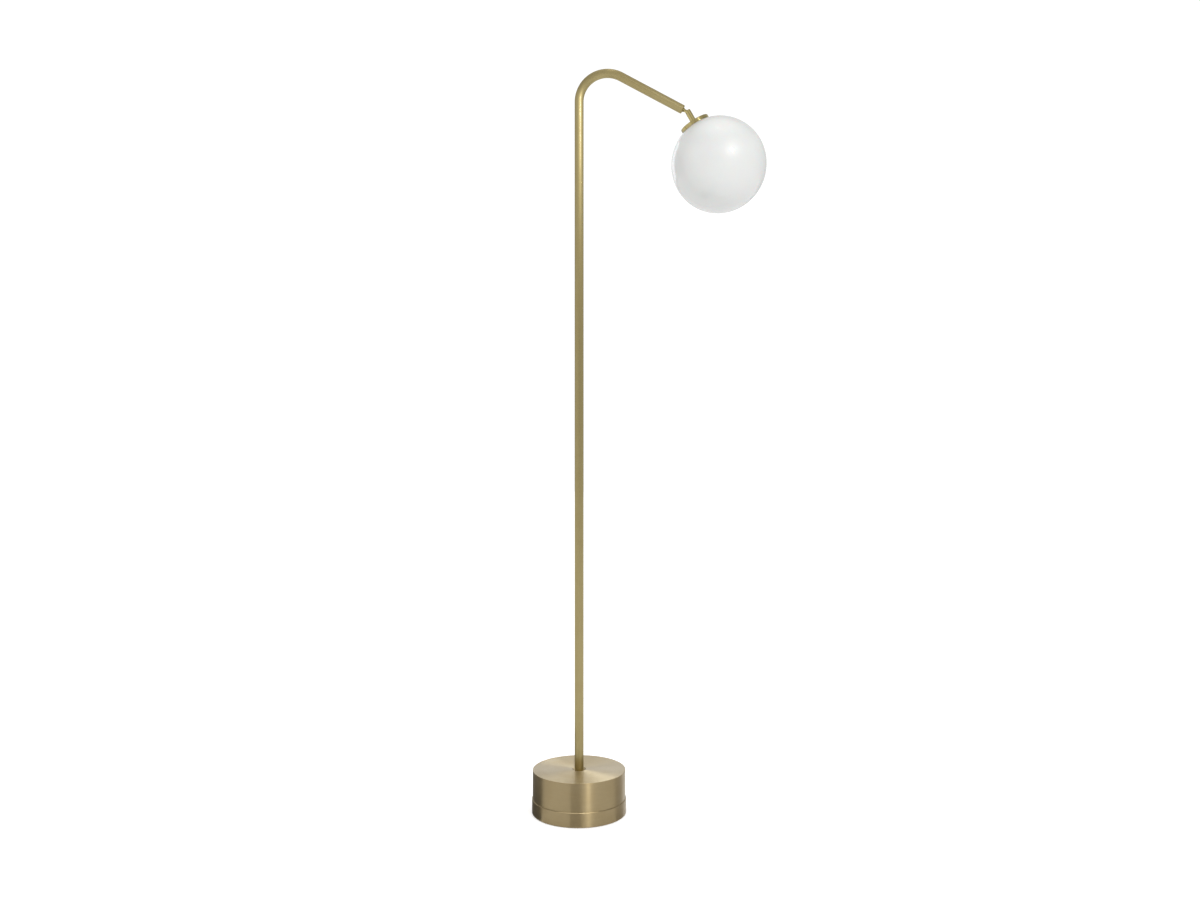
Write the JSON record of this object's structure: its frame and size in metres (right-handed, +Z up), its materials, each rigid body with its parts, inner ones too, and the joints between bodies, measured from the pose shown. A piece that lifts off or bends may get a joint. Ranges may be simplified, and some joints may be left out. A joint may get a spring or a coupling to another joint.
{
  "type": "floor lamp",
  "caption": "Floor lamp with a stepped round base, a tube bent over into a short arm, and an opal glass globe on a slotted ball joint.",
  "frame": {"origin": "centre of the base on the floor", "axes": "+Z up along the post, +X along the arm, +Y to the back, where the cable inlet is"},
  "size_m": [0.4931, 0.2045, 1.5654],
  "materials": {
    "brushed_brass": "fine brushed satin",
    "polished_brass": "polished",
    "opal_glass": "gloss opal",
    "ballast": "as cast, painted",
    "foot_pad": "matt",
    "steel": "zinc plated",
    "neck_ring": "turned",
    "black_plastic": "moulded",
    "white_plastic": "moulded",
    "ceramic": "unglazed",
    "gasket": "soft silicone",
    "wire": "silicone sleeve",
    "bulb": "frosted"
  },
  "bodies": {
    "stand": {"foot_pad": "foot_pad", "base_ring": "brushed_brass", "ballast_disc": "ballast", "base_drum": "brushed_brass", "drum_pillars": "steel", "base_screws": "steel", "post_tube": "brushed_brass", "foot_plug": "steel", "post_washer": "steel", "post_bolt": "steel", "cable_gland": "black_plastic", "gland_nut": "black_plastic", "terminal_block": "white_plastic", "block_screw": "steel", "earth_screw": "steel", "post_wire": "wire", "arm_plug": "polished_brass", "stop_pin": "steel"},
    "swivel": {"swivel_stud": "polished_brass", "swivel_collar": "polished_brass", "stop_washer": "steel", "swivel_springs": "steel", "swivel_nut": "steel"},
    "head": {"ball_socket": "polished_brass", "friction_cup": "white_plastic", "friction_springs": "steel", "socket_nipple": "steel", "gallery_cap": "polished_brass", "cap_nut": "steel", "cap_gasket": "gasket", "neck_ring": "neck_ring", "opal_globe": "opal_glass", "lampholder_shell": "black_plastic", "lampholder_core": "ceramic", "lampholder_contact": "polished_brass", "screw_shell": "neck_ring", "bulb_cap": "neck_ring", "bulb_envelope": "bulb", "head_wire": "wire"}
  },
  "joints": [
    {"name": "head_swivel", "type": "hinge", "parent": "stand", "child": "swivel", "pos_m": [0.23059, 0, 1.47325], "axis": [0.8829, 0, -0.4695], "range_deg": [-160, 160]},
    {"name": "head_tilt", "type": "hinge", "parent": "swivel", "child": "head", "pos_m": [0.23059, 0, 1.47325], "axis": [0, 1, 0], "range_deg": [-32, 58]}
  ]
}
